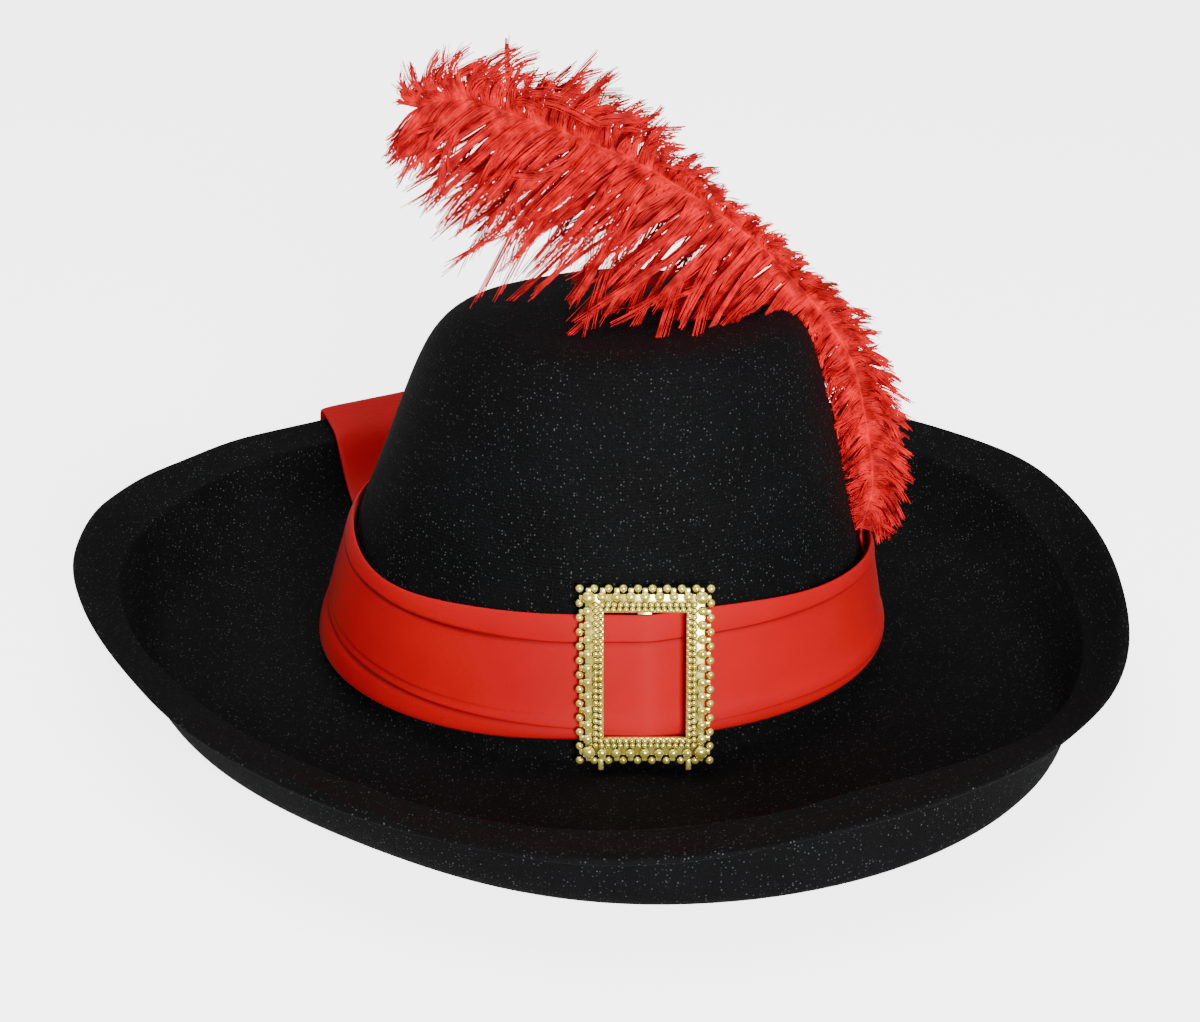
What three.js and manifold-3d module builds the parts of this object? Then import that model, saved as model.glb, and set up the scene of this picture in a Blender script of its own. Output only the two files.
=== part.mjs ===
// Cavalier hat: a crown and a curled brim of black flocked felt, a red sash with a free end,
// a gilt buckle and a red ostrich plume. Millimetres, +Z up. The hat rests on the flat ring
// round its head opening. The buckle faces -Y, the plume is tucked in at +X.
import * as THREE from 'three';
import { LoftGeometry } from 'three/addons/geometries/LoftGeometry.js';
import { mergeVertices } from 'three/addons/utils/BufferGeometryUtils.js';
import Module from 'manifold-3d';

// Felt: the head opening inside, the wall, and the crown's height over the table
const HEAD_LENGTH = 199;
const HEAD_WIDTH = 171;
const FELT = 2.5;
const CROWN_HEIGHT = 135;

// Brim: its usual width from the crown's foot, the rise of its rim over the table, its hem
const BRIM_WIDTH = 100;
const RIM_RISE = 39;
const HEM_WIDTH = 19;
const HEM_RIDGE = 1.2;
const WALL_RUN = 30;
const FLOOR_RISE = 2;
const REST_START = 7;
const REST_WIDTH = 14;

// Sash: cloth folded double, the height of its lower edge, and how far it stands off in places
const CLOTH = 1.6;
const BAND_WIDTH = 43;
const BAND_FOOT = 11;
const BAND_SLACK = 4;
const FOLD_DEPTH = 0.9;
const TAIL_WIDTH = 44;
const TAIL_START = 4;
const TAIL_LIFT = 10;
const TAIL_ARCH = 2.5;
const TAIL_DROP = 25;

// Buckle: the frame between the middles of its edge beads, its bars, its middle as a share of the
// sash's width, its place round the crown in degrees, and how far it bridges the crown's curve
const BUCKLE_WIDTH = 42.4;
const BUCKLE_HEIGHT = 58;
const FRAME_BAR = 7.4;
const FRAME_THICK = 2.4;
const BEAD = 4.3;
const BEADS_ACROSS = 10;
const BEADS_DOWN = 13;
const BORDER_RELIEF = 1;
const INNER_RIM = 2;
const CENTRE_BAR = 5;
const BAR_THICK = 1.2;
const POST = 2;
const BUCKLE_UP = 0.58;
const BUCKLE_TURN = 8;
const BUCKLE_BRIDGE = 1.2;

// Plume: the quill, how deep it is tucked behind the sash, its reach from there to its tip; the
// longest barbs and the half width and half thickness of a lock of them
const QUILL = 2.2;
const QUILL_TUCK = 12;
const QUILL_REACH = 155;
const BARBS = 60;
const LOCK_WIDE = 4.4;
const LOCK_THICK = 2.4;

// Gaps between pieces that touch on the real hat
const CLEAR = 0.35;
const TAIL_CLEAR = 1.6;

const AROUND = 48;

// Crown, from above the foot to the middle of its top. height is a share of the crown's height,
// reach of the foot's half length and half width, lean of its half length towards +X.
const crownRows = [
  { height: 0.978, reach: 0, lean: 0.09 },
  { height: 0.978, reach: 0.16, lean: 0.09 },
  { height: 0.984, reach: 0.32, lean: 0.088 },
  { height: 0.999, reach: 0.49, lean: 0.083 },
  { height: 0.987, reach: 0.59, lean: 0.074 },
  { height: 0.94, reach: 0.655, lean: 0.062 },
  { height: 0.86, reach: 0.698, lean: 0.053 },
  { height: 0.75, reach: 0.748, lean: 0.045 },
  { height: 0.63, reach: 0.802, lean: 0.034 },
  { height: 0.51, reach: 0.853, lean: 0.02 },
  { height: 0.39, reach: 0.902, lean: 0.006 },
  { height: 0.26, reach: 0.948, lean: 0.002 },
  { height: 0.11, reach: 0.995, lean: 0 },
];

// Brim, every 30 degrees from the buckle's side round to +X, the back and -X. width is a share
// of the brim's width, rise of the rim's rise, run of the wall's run; tilt is the hem's slope.
const brimRows = [
  { width: 1.14, rise: 0.96, run: 0.32, tilt: 9 },
  { width: 1.09, rise: 1.04, run: -0.04, tilt: 12 },
  { width: 0.96, rise: 0.87, run: 0.06, tilt: 36 },
  { width: 0.855, rise: 0.98, run: 0.9, tilt: 47 },
  { width: 0.95, rise: 1, run: 1.1, tilt: 24 },
  { width: 0.98, rise: 0.905, run: 1.1, tilt: 15 },
  { width: 1.07, rise: 0.955, run: 1.15, tilt: 14 },
  { width: 0.955, rise: 0.88, run: 1.1, tilt: 13 },
  { width: 0.995, rise: 0.925, run: 1.05, tilt: 16 },
  { width: 0.905, rise: 1.175, run: 0.6, tilt: 45 },
  { width: 0.855, rise: 1.045, run: 0.24, tilt: 32 },
  { width: 0.977, rise: 1, run: 0.42, tilt: 18 },
];

// The bend from the crown into the brim: shares of the distance to the resting ring, and of the felt
const bendRows = [
  { out: 0.06, up: 2.9 },
  { out: 0.3, up: 1.5 },
];

// The brim's wall between its floor and the hem's ridge, as shares of its run and height
const wallRows = [
  { run: 0, rise: 0 },
  { run: 0.34, rise: 0.1 },
  { run: 0.62, rise: 0.36 },
  { run: 0.82, rise: 0.7 },
  { run: 0.95, rise: 0.94 },
];

// The hem from its ridge to the rim: shares of the hem's width, and of the ridge's relief
const hemRows = [
  { out: 0, relief: 1 },
  { out: 0.16, relief: 0 },
  { out: 0.58, relief: -0.2 },
  { out: 1, relief: 0 },
];

// Sash, at the brim's angles. lift raises its lower edge and width is that of the band, both as
// shares of the band's width; slack and gape are shares of the stand-off, below and on top.
const bandRows = [
  { lift: 0.035, width: 1, slack: 0.1, gape: 0 },
  { lift: 0.025, width: 1, slack: 0.15, gape: 0 },
  { lift: 0.035, width: 0.89, slack: 0.3, gape: 0.3 },
  { lift: 0.06, width: 0.81, slack: 0.3, gape: 0.88 },
  { lift: 0.08, width: 0.8, slack: 0.3, gape: 0.3 },
  { lift: 0.1, width: 0.82, slack: 0.1, gape: 0 },
  { lift: 0.12, width: 0.86, slack: 0.1, gape: 0 },
  { lift: 0.14, width: 0.93, slack: 0.1, gape: 0 },
  { lift: 0.12, width: 1.02, slack: 0.3, gape: 0 },
  { lift: 0.03, width: 1.1, slack: 0.4, gape: 0.1 },
  { lift: -0.01, width: 0.97, slack: 0.5, gape: 0.1 },
  { lift: -0.01, width: 1.01, slack: 0.4, gape: 0 },
];

// Folds of the sash up its width: where, and how far they stand out as a share of the depth
const foldRows = [
  { up: 0, out: 0.5 },
  { up: 0.1, out: 1 },
  { up: 0.19, out: 0.9 },
  { up: 0.23, out: 0.1 },
  { up: 0.52, out: 0.3 },
  { up: 0.8, out: 0.1 },
  { up: 0.84, out: 0.8 },
  { up: 1, out: 0.6 },
];

// A periodic curve through a column of a table that goes once round the hat
function aroundCurve(rows, a, b, c) {
  const points = rows.map((row) => new THREE.Vector3(row[a], row[b], row[c]));
  return new THREE.CatmullRomCurve3(points, true, 'catmullrom', 0.5);
}

const brimShape = aroundCurve(brimRows, 'width', 'rise', 'run');
const brimTilt = aroundCurve(brimRows, 'tilt', 'tilt', 'tilt');
const bandEdges = aroundCurve(bandRows, 'lift', 'width', 'slack');
const bandGape = aroundCurve(bandRows, 'gape', 'gape', 'gape');

// A number between two rows of a table, found by its first column
function between(rows, at, value, column) {
  const order = rows[0][at] > rows.at(-1)[at] ? [...rows].reverse() : rows;
  const next = Math.max(1, order.findIndex((row) => row[at] >= value));
  const last = value > order.at(-1)[at] ? order.length - 1 : next;
  const a = order[last - 1];
  const b = order[last];
  return a[column] + ((b[column] - a[column]) * (value - a[at])) / (b[at] - a[at]);
}

const footLength = HEAD_LENGTH / 2 + FELT;
const footWidth = HEAD_WIDTH / 2 + FELT;

// The share of a turn from the buckle's side, counted towards +X
const turnOf = (x, y) => (Math.atan2(x, -y) / (2 * Math.PI) + 1) % 1;

// The crown's outside at a height, at the angle t of its oval
function crownPoint(t, height, off = 0) {
  const share = height / CROWN_HEIGHT;
  const reach = between(crownRows.slice(3), 'height', share, 'reach');
  const lean = between(crownRows.slice(3), 'height', share, 'lean');
  return new THREE.Vector3(
    lean * footLength + (reach * footLength + off) * Math.sin(t),
    -(reach * footWidth + off) * Math.cos(t),
    height,
  );
}

// The brim's top from the crown's foot to the rim, as steps out and heights, at a share of a turn
function brimProfile(turn) {
  const shape = brimShape.getPoint(turn);
  const tilt = THREE.MathUtils.degToRad(brimTilt.getPoint(turn).x);
  const width = BRIM_WIDTH * shape.x;
  const rim = RIM_RISE * shape.y;
  const ridgeOut = width - HEM_WIDTH * Math.cos(tilt);
  const ridgeUp = rim - HEM_WIDTH * Math.sin(tilt);
  const wallFoot = ridgeOut - WALL_RUN * shape.z;
  const restEnd = REST_START + REST_WIDTH;
  const floor = FELT + FLOOR_RISE;
  const rows = [
    ...bendRows.map((row) => ({ out: REST_START * row.out, up: FELT * row.up })),
    { out: REST_START, up: FELT, flat: true },
    { out: restEnd, up: FELT, flat: true },
    { out: (restEnd + wallFoot) / 2, up: FELT + FLOOR_RISE * 0.4 },
  ];
  for (const row of wallRows) {
    rows.push({
      out: wallFoot + row.run * (ridgeOut - wallFoot),
      up: floor + row.rise * (ridgeUp - floor),
    });
  }
  for (const row of hemRows) {
    rows.push({
      out: ridgeOut + row.out * (width - ridgeOut),
      up: ridgeUp + row.out * (rim - ridgeUp) + row.relief * HEM_RIDGE,
    });
  }
  return rows;
}

// The brim's top at a distance out from the crown's foot along a ray from the crown's axis
function brimPoint(t, row) {
  const foot = new THREE.Vector2(footLength * Math.sin(t), -footWidth * Math.cos(t));
  const reach = foot.length() + row.out;
  foot.setLength(reach);
  return new THREE.Vector3(foot.x, foot.y, row.up);
}

// The brim's height under a point of the plan, past the rim its rim's height
function brimHeight(x, y) {
  const turn = turnOf(x, y);
  const t = Math.atan2(x / footLength, -y / footWidth);
  const foot = Math.hypot(footLength * Math.sin(t), footWidth * Math.cos(t));
  const rows = brimProfile(turn);
  const out = Math.min(Math.hypot(x, y) - foot, rows.at(-1).out);
  return between(rows, 'out', out, 'up');
}

// One closed ring of points for each row of the felt's outside, from the crown's top to the rim
function feltRings() {
  const rings = crownRows.map(() => []);
  const brim = brimProfile(0).map(() => []);
  for (let i = 0; i < AROUND; i++) {
    const t = (2 * Math.PI * i) / AROUND;
    crownRows.forEach((row, k) => {
      rings[k].push(new THREE.Vector3(
        row.lean * footLength + row.reach * footLength * Math.sin(t),
        -row.reach * footWidth * Math.cos(t),
        row.height * CROWN_HEIGHT,
      ));
    });
    const turn = turnOf(footLength * Math.sin(t), -footWidth * Math.cos(t));
    brimProfile(turn).forEach((row, k) => brim[k].push(brimPoint(t, row)));
  }
  return [...rings, ...brim];
}

// The same rings one wall further in, square to the felt; the crown's middle goes straight down
function innerRings(rings) {
  const along = new THREE.Vector3();
  const round = new THREE.Vector3();
  return rings.map((ring, k) => ring.map((point, i) => {
    if (k === 0) return new THREE.Vector3(point.x, point.y, point.z - FELT);
    const before = rings[Math.max(0, k - 1)][i];
    const after = rings[Math.min(rings.length - 1, k + 1)][i];
    along.subVectors(after, before);
    round.subVectors(ring[(i + 1) % AROUND], ring[(i + AROUND - 1) % AROUND]);
    const normal = along.cross(round).normalize();
    return point.clone().addScaledVector(normal, -FELT);
  }));
}

function hatBody() {
  const outside = feltRings();
  const inside = innerRings(outside);
  const flatRows = brimProfile(0).map((row, k) => (row.flat ? k + crownRows.length : -1));
  for (const k of flatRows.filter((row) => row >= 0)) {
    inside[k] = outside[k].map((point) => new THREE.Vector3(point.x, point.y, 0));
  }
  const rim = outside.at(-1);
  const nose = rim.map((point, i) => {
    const middle = point.clone().lerp(inside.at(-1)[i], 0.5);
    const outward = new THREE.Vector3(point.x, point.y, 0).setLength(FELT * 0.35);
    return middle.add(outward);
  });
  const thinned = [2, 5, 8, 11];
  const under = inside.filter((ring, k) => !thinned.includes(k));
  return new LoftGeometry([...under, nose, ...outside.reverse()]);
}

// The heights of the sash's edges at an angle of the crown's oval
function bandSpan(t) {
  const edges = bandEdges.getPoint(turnOf(footLength * Math.sin(t), -footWidth * Math.cos(t)));
  const low = BAND_FOOT + edges.x * BAND_WIDTH;
  return { low, width: BAND_WIDTH * edges.y, slack: BAND_SLACK * edges.z };
}

// The buckle's middle, at the back of its frame, and its lean, which is that of the wall behind it
const buckleT = THREE.MathUtils.degToRad(BUCKLE_TURN);
const buckleUp = BAND_FOOT + BAND_WIDTH * BUCKLE_UP;
const buckleStand = 2 * CLEAR + CLOTH + FOLD_DEPTH + BUCKLE_BRIDGE;
const buckleSeat = crownPoint(buckleT, buckleUp, buckleStand);
const buckleTop = crownPoint(buckleT, buckleUp + BUCKLE_HEIGHT / 2, buckleStand);
const buckleLean = Math.atan2(
  Math.hypot(buckleSeat.x - buckleTop.x, buckleSeat.y - buckleTop.y),
  BUCKLE_HEIGHT / 2,
);

// The buckle's bar lies behind the sash: how deep its front is behind the frame's back
const barDeep = CLOTH + 2 * CLEAR;
const barHalf = CENTRE_BAR / 2 + CLEAR;
const barEase = 2 * CENTRE_BAR;

// How far the buckle's bar holds the sash off a point of the crown
function heldOff(point) {
  const beside = Math.abs(point.x - buckleSeat.x) - barHalf;
  const hold = THREE.MathUtils.clamp(1 - beside / barEase, 0, 1);
  const back = buckleSeat.y + (point.z - buckleUp) * Math.tan(buckleLean);
  const front = back + barDeep / Math.cos(buckleLean);
  return point.y < 0 ? { hold, off: hold * (point.y - front + CLEAR) } : { hold: 0, off: 0 };
}

// The sash: rings of a section that goes up its outside with the folds and down its inside
function bandSection(t) {
  const span = bandSpan(t);
  const gape = BAND_SLACK * bandGape.getPoint(
    turnOf(footLength * Math.sin(t), -footWidth * Math.cos(t)),
  ).x;
  const standOff = (up) => {
    const height = span.low + span.width * up;
    const held = heldOff(crownPoint(t, height));
    const free = CLEAR + span.slack * (1 - up) + gape * up;
    return { height, hold: held.hold, off: Math.max(free, held.off) };
  };
  const outside = foldRows.map((row) => {
    const at = standOff(row.up);
    return crownPoint(t, at.height, at.off + CLOTH + FOLD_DEPTH * row.out * (1 - at.hold));
  });
  const inside = [1, 0.5, 0].map((up) => {
    const at = standOff(up);
    return crownPoint(t, at.height, at.off);
  });
  return [...outside, ...inside].reverse();
}

// Sections stand evenly round the crown, and closer together over the buckle's bar
function sashBand() {
  const step = (2 * Math.PI) / AROUND;
  const ease = (barHalf + barEase) / footLength;
  const turns = [...Array(AROUND).keys()].map((i) => i * step);
  const spread = turns.filter((t) => Math.abs(t - buckleT) > ease + step / 4);
  for (const beside of [-ease, -barHalf / footLength, barHalf / footLength, ease]) {
    spread.push(buckleT + beside);
  }
  spread.sort((a, b) => a - b);
  const sections = spread.map(bandSection);
  return new LoftGeometry([...sections, sections[0].map((point) => point.clone())]);
}

// The free end of the sash, in plan from the band to the rim and past it
const tailRoot = new THREE.Vector2(-0.66 * footLength, 0.8 * footWidth);
const tailHeading = new THREE.Vector2(-0.36, 0.93).normalize();

// Where the hanging end is bent, as shares of its drop behind the rim
const hangShares = [0.16, 0.55, 1];

function sashTail() {
  const across = new THREE.Vector2(tailHeading.y, -tailHeading.x);
  const sides = 5;
  const steps = 13;
  const sections = [];
  const line = (side, run) => tailRoot.clone()
    .addScaledVector(tailHeading, run)
    .addScaledVector(across, side * TAIL_WIDTH);
  // How far along its heading each strand of the cloth meets the rim
  const rimRun = (side) => {
    let run = 0;
    const past = (at) => {
      const p = line(side, at);
      const t = Math.atan2(p.x / footLength, -p.y / footWidth);
      const foot = Math.hypot(footLength * Math.sin(t), footWidth * Math.cos(t));
      return p.length() - foot - brimProfile(turnOf(p.x, p.y)).at(-1).out;
    };
    while (past(run) < 0) run += 0.5;
    return run;
  };
  const strands = [];
  for (let j = 0; j <= sides; j++) {
    const side = 0.5 - j / sides;
    const last = rimRun(side);
    const strand = [];
    for (let i = 0; i <= steps; i++) {
      const share = i / steps;
      const run = TAIL_START + share * (last - TAIL_START);
      const p = line(side, run);
      const rise = TAIL_LIFT * Math.max(0, 1 - share * 4) ** 2;
      const lift = rise + TAIL_ARCH * Math.sin(Math.PI * share);
      strand.push(new THREE.Vector3(p.x, p.y, brimHeight(p.x, p.y) + TAIL_CLEAR + lift));
    }
    const rim = strand.at(-1);
    const beyond = line(side, last + FELT + TAIL_CLEAR);
    strand.push(new THREE.Vector3(beyond.x, beyond.y, rim.z));
    for (const drop of hangShares) {
      const hang = line(side, last + FELT + TAIL_CLEAR + CLOTH);
      strand.push(new THREE.Vector3(hang.x, hang.y, rim.z - TAIL_DROP * drop));
    }
    strands.push(strand);
  }
  const inner = strands[strands.length / 2 - 1];
  for (let i = 0; i < inner.length; i++) {
    const lower = strands.map((strand) => strand[i].clone());
    const before = inner[Math.max(0, i - 1)];
    const after = inner[Math.min(inner.length - 1, i + 1)];
    const along = new THREE.Vector3().subVectors(after, before);
    const normal = new THREE.Vector3(across.x, across.y, 0).cross(along).normalize();
    const upper = lower.map((point) => point.clone().addScaledVector(normal, CLOTH));
    sections.push([...lower, ...upper.reverse()]);
  }
  return new LoftGeometry(sections, { capStart: true, capEnd: true });
}

const wasm = await Module();
wasm.setup();

// A closed geometry as a solid that can be joined and cut
function solid(geometry) {
  const bare = new THREE.BufferGeometry();
  bare.setAttribute('position', geometry.getAttribute('position'));
  bare.setIndex(geometry.index);
  const merged = mergeVertices(bare, 1e-4);
  const made = new wasm.Manifold(new wasm.Mesh({
    numProp: 3,
    vertProperties: merged.getAttribute('position').array,
    triVerts: new Uint32Array(merged.index.array),
  }));
  return made;
}

// A solid as a geometry for a mesh
function geometryOf(made) {
  const mesh = made.getMesh();
  const geometry = new THREE.BufferGeometry();
  geometry.setAttribute('position', new THREE.BufferAttribute(mesh.vertProperties, 3));
  geometry.setIndex(new THREE.BufferAttribute(mesh.triVerts, 1));
  geometry.computeVertexNormals();
  return geometry;
}

const joined = (solids) => solids.reduce((all, next) => all.add(next));

function rectangle(width, height) {
  const shape = new THREE.Shape();
  shape.moveTo(-width / 2, -height / 2);
  shape.lineTo(width / 2, -height / 2);
  shape.lineTo(width / 2, height / 2);
  shape.lineTo(-width / 2, height / 2);
  shape.closePath();
  return shape;
}

// A flat rectangular frame, its outside and its opening given, lying in XY with its back on z = 0
function frame(width, height, openWidth, openHeight, thick, bevel) {
  const shape = rectangle(width - 2 * bevel, height - 2 * bevel);
  shape.holes.push(rectangle(openWidth + 2 * bevel, openHeight + 2 * bevel));
  return new THREE.ExtrudeGeometry(shape, {
    depth: thick - 2 * bevel,
    bevelEnabled: bevel > 0,
    bevelSize: bevel,
    bevelThickness: bevel,
    bevelSegments: 1,
  }).translate(0, 0, bevel);
}

function buckle() {
  const openWidth = BUCKLE_WIDTH - 2 * FRAME_BAR;
  const openHeight = BUCKLE_HEIGHT - 2 * FRAME_BAR;
  const parts = [
    solid(frame(BUCKLE_WIDTH, BUCKLE_HEIGHT, openWidth, openHeight, FRAME_THICK, 0)),
    solid(frame(
      openWidth + 2 * INNER_RIM + 2 * BORDER_RELIEF,
      openHeight + 2 * INNER_RIM + 2 * BORDER_RELIEF,
      openWidth - 0.02,
      openHeight - 0.02,
      FRAME_THICK + BORDER_RELIEF,
      BORDER_RELIEF * 0.6,
    )),
  ];
  // The centre bar runs behind the sash, and a stub at each end joins it to the frame
  const span = bandSpan(buckleT);
  const edge = (height) => (height - buckleUp) / Math.cos(buckleLean);
  const stub = BAR_THICK + 2 * CLEAR;
  const barTop = Math.max(edge(span.low + span.width) + stub, openHeight / 2 + BAR_THICK);
  const barEnd = Math.min(edge(span.low) - stub, -openHeight / 2 - BAR_THICK);
  const barBack = -barDeep - BAR_THICK;
  parts.push(solid(new THREE.BoxGeometry(CENTRE_BAR, barTop - barEnd, BAR_THICK)
    .translate(0, (barTop + barEnd) / 2, barBack + BAR_THICK / 2)));
  const stubDeep = FRAME_THICK / 2 - barBack;
  for (const middle of [barTop - BAR_THICK / 2, barEnd + BAR_THICK / 2]) {
    parts.push(solid(new THREE.BoxGeometry(CENTRE_BAR, BAR_THICK, stubDeep)
      .translate(0, middle, barBack + stubDeep / 2)));
  }
  const bead = (x, y, size) => solid(new THREE.SphereGeometry(size / 2, 6, 3)
    .rotateX(Math.PI / 2)
    .translate(x, y, FRAME_THICK / 2));
  for (let i = 0; i < BEADS_ACROSS; i++) {
    const x = (i / (BEADS_ACROSS - 1) - 0.5) * BUCKLE_WIDTH;
    parts.push(bead(x, BUCKLE_HEIGHT / 2, BEAD), bead(x, -BUCKLE_HEIGHT / 2, BEAD));
  }
  for (let i = 1; i < BEADS_DOWN - 1; i++) {
    const y = (i / (BEADS_DOWN - 1) - 0.5) * BUCKLE_HEIGHT;
    parts.push(bead(BUCKLE_WIDTH / 2, y, BEAD), bead(-BUCKLE_WIDTH / 2, y, BEAD));
  }
  for (const side of [-1, 1]) {
    parts.push(solid(new THREE.CylinderGeometry(POST / 2, POST / 2, BEAD, 6)
      .translate(side * (openWidth / 2 + POST / 2), -(BUCKLE_HEIGHT + BEAD) / 2, FRAME_THICK / 2)));
  }
  return geometryOf(joined(parts));
}

// The quill's line from where it leaves the sash: up beside the crown, then over its top to the
// left. out and back are shares of the quill's reach, up of the crown's height.
const quillRows = [
  { out: 0.025, back: 0.025, up: 0.126 },
  { out: 0.005, back: 0.038, up: 0.296 },
  { out: -0.033, back: 0.051, up: 0.466 },
  { out: -0.105, back: 0.057, up: 0.6 },
  { out: -0.182, back: 0.06, up: 0.704 },
  { out: -0.262, back: 0.06, up: 0.8 },
  { out: -0.392, back: 0.056, up: 0.913 },
  { out: -0.52, back: 0.046, up: 1.007 },
  { out: -0.65, back: 0.028, up: 1.081 },
  { out: -0.773, back: 0.01, up: 1.14 },
  { out: -0.92, back: -0.015, up: 1.2 },
  { out: -1.01, back: -0.03, up: 1.185 },
];

// Locks of barbs along the quill: at is where they grow as a share of its length, inner and
// outer their reach on the crown's side and on the other, as shares of the longest barbs.
// inward and ahead point the inner locks towards the crown and the tip; droop bends them down.
const lockRows = [
  { at: 0.12, inner: 0.15, outer: 0.24, inward: -0.4, ahead: 0.5, droop: 0.1 },
  { at: 0.18, inner: 0.22, outer: 0.28, inward: -0.3, ahead: 0.6, droop: 0.1 },
  { at: 0.25, inner: 0.3, outer: 0.3, inward: -0.1, ahead: 0.6, droop: 0.1 },
  { at: 0.33, inner: 0.45, outer: 0.28, inward: 0, ahead: 0.5, droop: 0.15 },
  { at: 0.42, inner: 0.65, outer: 0.24, inward: 0.15, ahead: 0.3, droop: 0.2 },
  { at: 0.51, inner: 0.9, outer: 0.2, inward: 0.5, ahead: 0.3, droop: 0.3 },
  { at: 0.6, inner: 0.95, outer: 0.24, inward: 0.75, ahead: 0.4, droop: 0.3 },
  { at: 0.68, inner: 0.85, outer: 0.36, inward: 0.85, ahead: 0.5, droop: 0.25 },
  { at: 0.76, inner: 0.75, outer: 0.44, inward: 0.85, ahead: 0.6, droop: 0.25 },
  { at: 0.84, inner: 0.65, outer: 0.45, inward: 0.85, ahead: 0.7, droop: 0.25 },
  { at: 0.92, inner: 0.5, outer: 0.36, inward: 0.9, ahead: 0.8, droop: 0.3 },
  { at: 0.98, inner: 0.3, outer: 0.2, inward: 0.9, ahead: 0.9, droop: 0.3 },
];

// How far the locks of one place fan out to the front and the back, on each side of the quill
const innerFans = [-1, 0.15];
const outerFans = [-0.5, 0.5];
const OUTER_AHEAD = 1.1;
const OUTER_DROOP = 0.1;

// A lock along its length: where, and its section there as a share of the full width
const lockStages = [
  { along: 0, size: 0.35 },
  { along: 0.35, size: 1 },
  { along: 0.75, size: 0.8 },
  { along: 1, size: 0.15 },
];

// A lock is a tapering, drooping blade that grows out of the quill
function lock(root, direction, reach, droop) {
  const sides = 4;
  const wide = new THREE.Vector3(-direction.z, 0, direction.x).normalize();
  const thin = new THREE.Vector3().crossVectors(direction, wide).normalize();
  const rings = lockStages.map((stage) => {
    const centre = root.clone().addScaledVector(direction, reach * stage.along);
    centre.z -= droop * reach * stage.along ** 2;
    return [...Array(sides).keys()].map((i) => {
      const angle = (2 * Math.PI * i) / sides;
      return centre.clone()
        .addScaledVector(wide, LOCK_WIDE * stage.size * Math.cos(angle))
        .addScaledVector(thin, LOCK_THICK * stage.size * Math.sin(angle));
    });
  });
  return solid(new LoftGeometry(rings, { capStart: true, capEnd: true }));
}

// The crown's outside with the gap to its neighbours, closed under the brim
function crownKept() {
  const rings = crownRows.map((row) => [...Array(AROUND).keys()].map((i) => {
    const t = (2 * Math.PI * i) / AROUND;
    const off = row.reach > 0 ? CLEAR : 0;
    return new THREE.Vector3(
      row.lean * footLength + (row.reach * footLength + off) * Math.sin(t),
      -(row.reach * footWidth + off) * Math.cos(t),
      row.height * CROWN_HEIGHT + CLEAR,
    );
  }));
  const last = rings.at(-1);
  rings.push(last.map((point) => new THREE.Vector3(point.x, point.y, 0)));
  return solid(new LoftGeometry(rings.reverse(), { capStart: true }));
}

function plume() {
  const sideT = Math.PI / 2;
  const span = bandSpan(sideT);
  const bandTop = span.low + span.width;
  const foot = crownPoint(sideT, bandTop - QUILL_TUCK, CLEAR + QUILL / 2);
  const neck = crownPoint(sideT, bandTop, CLEAR + QUILL / 2);
  const line = new THREE.CatmullRomCurve3([foot, neck, ...quillRows.map((row) => (
    new THREE.Vector3(row.out * QUILL_REACH, row.back * QUILL_REACH, row.up * CROWN_HEIGHT).add(neck)
  ))]);
  const section = new THREE.Shape();
  section.absarc(0, 0, QUILL / 2, 0, 2 * Math.PI);
  const parts = [solid(new THREE.ExtrudeGeometry(section, {
    steps: 26,
    curveSegments: 3,
    bevelEnabled: false,
    extrudePath: line,
  }))];
  const direction = new THREE.Vector3();
  for (const row of lockRows) {
    const root = line.getPointAt(row.at);
    const tangent = line.getTangentAt(row.at);
    const inwards = new THREE.Vector3(-tangent.z, 0, tangent.x);
    for (const fan of innerFans) {
      direction.copy(tangent).multiplyScalar(row.ahead).addScaledVector(inwards, row.inward);
      direction.y += fan;
      parts.push(lock(root, direction.clone().normalize(), BARBS * row.inner, row.droop));
    }
    for (const fan of outerFans) {
      direction.copy(tangent).multiplyScalar(OUTER_AHEAD).sub(inwards);
      direction.y += fan;
      parts.push(lock(root, direction.clone().normalize(), BARBS * row.outer, OUTER_DROOP));
    }
  }
  const bodies = joined(parts).subtract(crownKept()).decompose();
  return geometryOf(bodies.reduce((all, next) => (next.volume() > all.volume() ? next : all)));
}

const felt = new THREE.MeshStandardMaterial({ color: 0x0b0b0d, roughness: 0.95, metalness: 0 });
const satin = new THREE.MeshStandardMaterial({ color: 0xc81e22, roughness: 0.55, metalness: 0 });
const gilt = new THREE.MeshStandardMaterial({ color: 0xd9b23c, roughness: 0.25, metalness: 1 });
const feather = new THREE.MeshStandardMaterial({ color: 0xc62a33, roughness: 0.8, metalness: 0 });

const hat = new THREE.Group();

function piece(name, geometry, material) {
  const mesh = new THREE.Mesh(geometry, material);
  mesh.name = name;
  hat.add(mesh);
  return mesh;
}

piece('hat_body', hatBody(), felt);
piece('sash_band', sashBand(), satin);
piece('sash_tail', sashTail(), satin);
piece('plume', plume(), feather);

// The buckle stands on the sash, turned round the crown and leaning back with its wall
const buckleMesh = piece('buckle', buckle(), gilt);
buckleMesh.position.copy(buckleSeat);
buckleMesh.rotation.set(Math.PI / 2 - buckleLean, 0, 0);

// The origin is under the middle of the whole hat, on the table
const bounds = new THREE.Box3().setFromObject(hat);
hat.position.set(-(bounds.min.x + bounds.max.x) / 2, -(bounds.min.y + bounds.max.y) / 2, 0);

const group = new THREE.Group();
group.add(hat);

export default group;
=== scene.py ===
import math
import random

import bmesh
import bpy
from mathutils import Matrix, Vector, noise
from mathutils.bvhtree import BVHTree


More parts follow.
